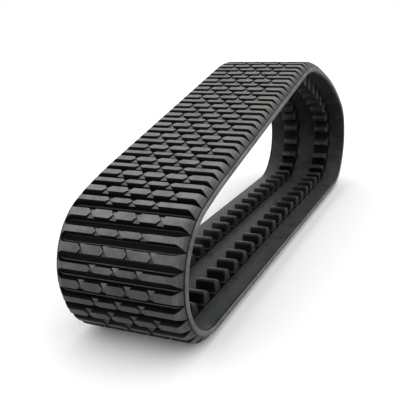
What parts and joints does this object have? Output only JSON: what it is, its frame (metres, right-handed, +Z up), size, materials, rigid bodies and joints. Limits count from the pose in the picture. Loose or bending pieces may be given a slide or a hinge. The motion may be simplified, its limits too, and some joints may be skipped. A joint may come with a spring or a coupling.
{
  "type": "rubber track",
  "caption": "Endless rubber track belt with a blocked bar tread, smooth wheel lanes and two rows of internal drive lugs.",
  "frame": {"origin": "on the ground under the middle of the loop", "axes": "+X along the track towards the rear bend, which the top run slopes down to from its ridge, +Y across it, +Z up"},
  "size_m": [2.3608, 0.4572, 0.7902],
  "materials": {
    "tread_rubber": "satin moulded, worn grey on the tops",
    "ply_fabric": "rubberised weave",
    "cord_fabric": "parallel tension cords in skim rubber",
    "lane_rubber": "smooth satin",
    "lug_rubber": "satin moulded"
  },
  "bodies": {
    "ground_run": {"ground_run_tread": "tread_rubber", "ground_run_bias_ply": "ply_fabric", "ground_run_cord_belt": "cord_fabric", "ground_run_wheel_lane_left": "lane_rubber", "ground_run_wheel_lane_centre": "lane_rubber", "ground_run_wheel_lane_right": "lane_rubber", "ground_run_drive_lugs_left": "lug_rubber", "ground_run_drive_lugs_right": "lug_rubber"},
    "rear_lower_bend": {"rear_lower_bend_tread": "tread_rubber", "rear_lower_bend_bias_ply": "ply_fabric", "rear_lower_bend_cord_belt": "cord_fabric", "rear_lower_bend_wheel_lane_left": "lane_rubber", "rear_lower_bend_wheel_lane_centre": "lane_rubber", "rear_lower_bend_wheel_lane_right": "lane_rubber", "rear_lower_bend_drive_lugs_left": "lug_rubber", "rear_lower_bend_drive_lugs_right": "lug_rubber"},
    "rear_upper_bend": {"rear_upper_bend_tread": "tread_rubber", "rear_upper_bend_bias_ply": "ply_fabric", "rear_upper_bend_cord_belt": "cord_fabric", "rear_upper_bend_wheel_lane_left": "lane_rubber", "rear_upper_bend_wheel_lane_centre": "lane_rubber", "rear_upper_bend_wheel_lane_right": "lane_rubber", "rear_upper_bend_drive_lugs_left": "lug_rubber", "rear_upper_bend_drive_lugs_right": "lug_rubber"},
    "top_run_rear": {"top_run_rear_tread": "tread_rubber", "top_run_rear_bias_ply": "ply_fabric", "top_run_rear_cord_belt": "cord_fabric", "top_run_rear_wheel_lane_left": "lane_rubber", "top_run_rear_wheel_lane_centre": "lane_rubber", "top_run_rear_wheel_lane_right": "lane_rubber", "top_run_rear_drive_lugs_left": "lug_rubber", "top_run_rear_drive_lugs_right": "lug_rubber"},
    "top_run_front": {"top_run_front_tread": "tread_rubber", "top_run_front_bias_ply": "ply_fabric", "top_run_front_cord_belt": "cord_fabric", "top_run_front_wheel_lane_left": "lane_rubber", "top_run_front_wheel_lane_centre": "lane_rubber", "top_run_front_wheel_lane_right": "lane_rubber", "top_run_front_drive_lugs_left": "lug_rubber", "top_run_front_drive_lugs_right": "lug_rubber"},
    "front_upper_bend": {"front_upper_bend_tread": "tread_rubber", "front_upper_bend_bias_ply": "ply_fabric", "front_upper_bend_cord_belt": "cord_fabric", "front_upper_bend_wheel_lane_left": "lane_rubber", "front_upper_bend_wheel_lane_centre": "lane_rubber", "front_upper_bend_wheel_lane_right": "lane_rubber", "front_upper_bend_drive_lugs_left": "lug_rubber", "front_upper_bend_drive_lugs_right": "lug_rubber"},
    "front_lower_bend": {"front_lower_bend_tread": "tread_rubber", "front_lower_bend_bias_ply": "ply_fabric", "front_lower_bend_cord_belt": "cord_fabric", "front_lower_bend_wheel_lane_left": "lane_rubber", "front_lower_bend_wheel_lane_centre": "lane_rubber", "front_lower_bend_wheel_lane_right": "lane_rubber", "front_lower_bend_drive_lugs_left": "lug_rubber", "front_lower_bend_drive_lugs_right": "lug_rubber"}
  },
  "joints": [
    {"name": "front_lower_flex", "type": "hinge", "parent": "ground_run", "child": "front_lower_bend", "pos_m": [-0.92714, 0, 0.037], "axis": [0, -1, 0], "range_deg": [-4, 4.5], "stiffness_Nm_per_rad": 400},
    {"name": "front_apex_flex", "type": "hinge", "parent": "front_lower_bend", "child": "front_upper_bend", "pos_m": [-1.1408, 0, 0.21836], "axis": [0, -1, 0], "range_deg": [-9.05, 8.05], "stiffness_Nm_per_rad": 400},
    {"name": "front_upper_flex", "type": "hinge", "parent": "front_upper_bend", "child": "top_run_front", "pos_m": [-0.80111, 0, 0.51393], "axis": [0, -1, 0], "range_deg": [-4, 4.5], "stiffness_Nm_per_rad": 400},
    {"name": "rear_lower_flex", "type": "hinge", "parent": "ground_run", "child": "rear_lower_bend", "pos_m": [0.90165, 0, 0.037], "axis": [0, -1, 0], "range_deg": [-6.39, 5.69], "stiffness_Nm_per_rad": 400},
    {"name": "rear_apex_flex", "type": "hinge", "parent": "rear_lower_bend", "child": "rear_upper_bend", "pos_m": [1.14195, 0, 0.30535], "axis": [0, -1, 0], "range_deg": [-10.35, 11.63], "stiffness_Nm_per_rad": 400},
    {"name": "rear_upper_flex", "type": "hinge", "parent": "rear_upper_bend", "child": "top_run_rear", "pos_m": [0.95761, 0, 0.53184], "axis": [0, -1, 0], "range_deg": [-5.29, 4.71], "stiffness_Nm_per_rad": 400}
  ],
  "couplings": [
    {"joint": "front_apex_flex", "follows": "front_lower_flex", "ratio": -2},
    {"joint": "front_upper_flex", "follows": "front_lower_flex", "ratio": 1},
    {"joint": "rear_lower_flex", "follows": "front_lower_flex", "ratio": -1.409},
    {"joint": "rear_apex_flex", "follows": "front_lower_flex", "ratio": 2.5741},
    {"joint": "rear_upper_flex", "follows": "front_lower_flex", "ratio": -1.1651}
  ]
}
